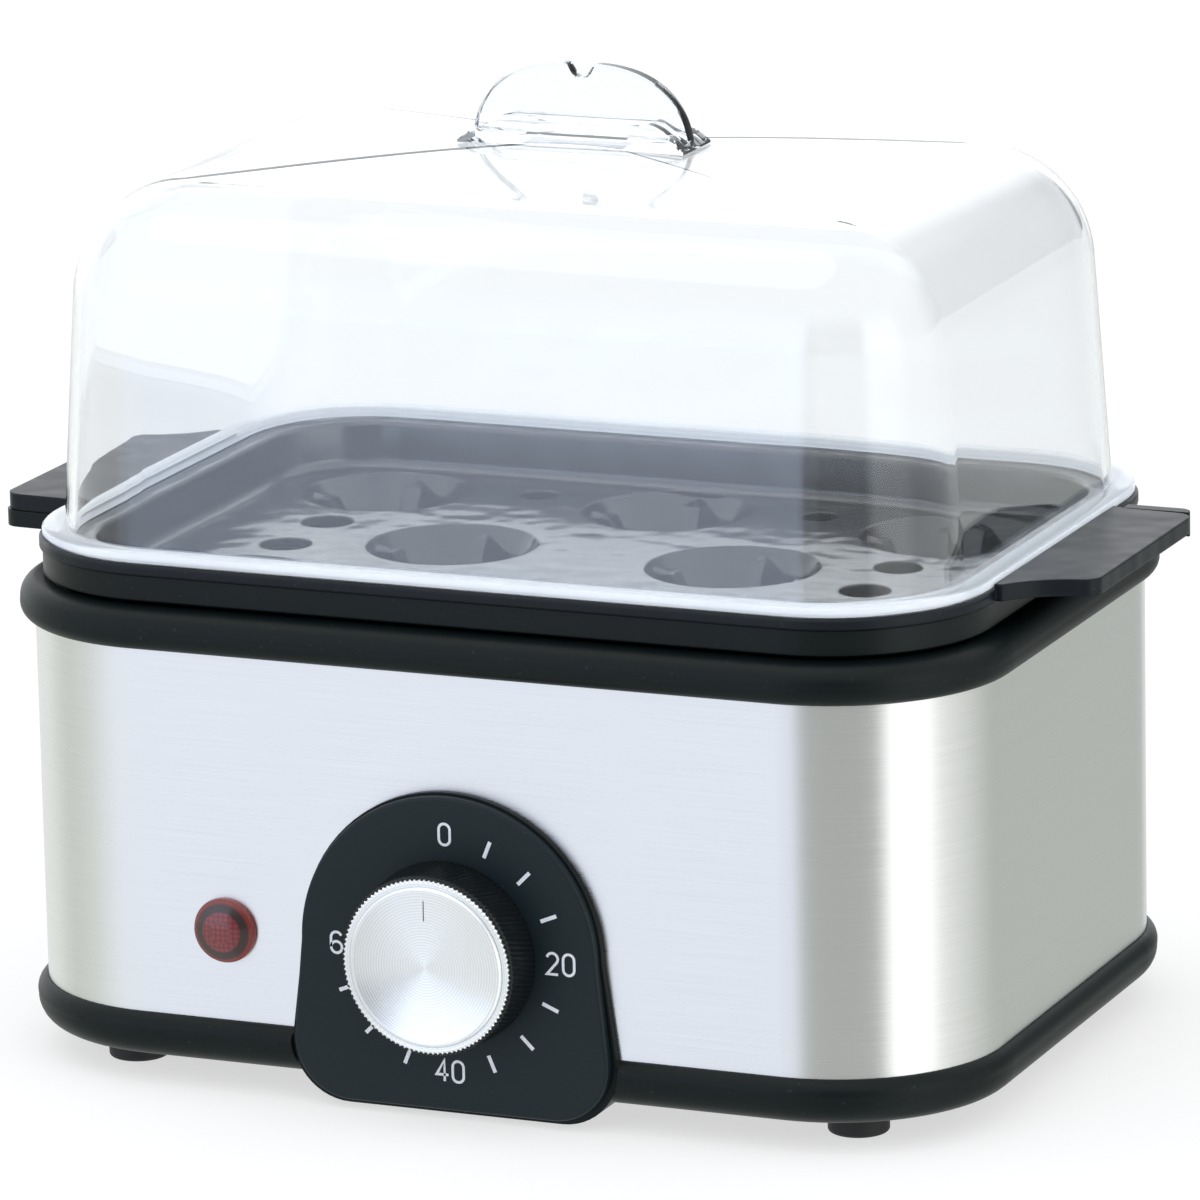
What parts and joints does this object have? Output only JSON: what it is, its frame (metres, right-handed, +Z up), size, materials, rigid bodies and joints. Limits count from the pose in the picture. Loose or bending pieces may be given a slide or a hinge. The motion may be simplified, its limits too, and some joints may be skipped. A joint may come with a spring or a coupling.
{
  "type": "egg cooker",
  "caption": "Rectangular egg cooker: brushed steel base with a dial timer and pilot lamp, water pan, two stacked black trays with carrying tabs, and a clear domed lid with a grip.",
  "frame": {"origin": "on the table, under the middle of the body", "axes": "+X to the right of someone facing the dial, -Y out of the front with the dial, +Z up"},
  "size_m": [0.2552, 0.1882, 0.2135],
  "materials": {
    "body_plastic": "satin black moulded plastic",
    "dial_plastic": "satin black moulded plastic",
    "steel_skin": "stainless steel, fine horizontal brush",
    "silicone": "translucent grey silicone",
    "pan_metal": "satin aluminium",
    "heater_sheath": "dull sheath",
    "plated_steel": "zinc-plated steel",
    "screw_steel": "zinc-plated steel",
    "thermostat_body": "cream ceramic",
    "fuse_sleeve": "white glass-fibre sleeve",
    "timer_steel": "plated sheet steel",
    "movement_brass": "stamped brass",
    "contact_brass": "spring brass",
    "bell_steel": "bright plated steel",
    "red_lens": "translucent red plastic",
    "spring_steel": "spring steel",
    "neon_glass": "clear glass bulb",
    "holder_plastic": "off-white plastic",
    "resistor_body": "lacquered resistor",
    "block_plastic": "off-white plastic",
    "gland_plastic": "black plastic",
    "foot_rubber": "black rubber",
    "shaft_steel": "turned steel",
    "cam_plastic": "natural nylon",
    "knob_plastic": "black plastic with grip flutes",
    "cap_aluminium": "spun aluminium",
    "lower_tray_plastic": "satin black moulded plastic",
    "upper_tray_plastic": "semi-gloss black moulded plastic",
    "lid_plastic": "clear moulded plastic",
    "wire_brown": "brown sleeve",
    "wire_black": "black sleeve",
    "wire_white": "white silicone sleeve",
    "wire_blue": "blue sleeve",
    "wire_green": "green sleeve",
    "lamp_wire_red": "red sleeve",
    "lamp_wire_black": "black sleeve"
  },
  "bodies": {
    "base": {"base_screws": "screw_steel", "base_shell": "body_plastic", "bracket_screws": "screw_steel", "cord_gland": "gland_plastic", "dial_plate": "dial_plastic", "earth_tab": "plated_steel", "earth_wire": "wire_green", "feet": "foot_rubber", "fuse_clip": "plated_steel", "heater_wire": "wire_white", "heating_element": "heater_sheath", "heating_pan": "pan_metal", "lamp_holder": "holder_plastic", "lamp_lead": "lamp_wire_black", "lamp_resistor": "resistor_body", "lamp_wire": "lamp_wire_red", "lens_clip": "spring_steel", "live_wire": "wire_brown", "neon_lamp": "neon_glass", "neutral_wire": "wire_blue", "pan_bracket": "plated_steel", "pan_gasket": "silicone", "pilot_lens": "red_lens", "steel_wrap": "steel_skin", "switched_wire": "wire_black", "terminal_block": "block_plastic", "terminal_screws": "screw_steel", "thermal_fuse": "fuse_sleeve", "thermostat": "thermostat_body", "timer_bell": "bell_steel", "timer_case": "timer_steel", "timer_contacts": "contact_brass", "timer_movement": "movement_brass", "timer_screws": "screw_steel", "top_rim": "body_plastic"},
    "dial_knob": {"timer_shaft": "shaft_steel", "timer_cam": "cam_plastic", "timer_knob": "knob_plastic", "knob_cap": "cap_aluminium"},
    "lower_tray": {"steam_tray": "lower_tray_plastic"},
    "upper_tray": {"egg_tray": "upper_tray_plastic"},
    "cover": {"lid": "lid_plastic"}
  },
  "joints": [
    {"name": "knob_turn", "type": "hinge", "parent": "base", "child": "dial_knob", "pos_m": [0, -0.0823, 0.0369], "axis": [0, 1, 0], "range_deg": [0, 270]},
    {"name": "steam_tray_lift", "type": "slide", "parent": "base", "child": "lower_tray", "axis": [0, 0, 1], "range_m": [0, 0.06]},
    {"name": "egg_tray_lift", "type": "slide", "parent": "lower_tray", "child": "upper_tray", "axis": [0, 0, 1], "range_m": [0, 0.06]},
    {"name": "lid_lift", "type": "slide", "parent": "upper_tray", "child": "cover", "axis": [0, 0, 1], "range_m": [0, 0.12]}
  ]
}
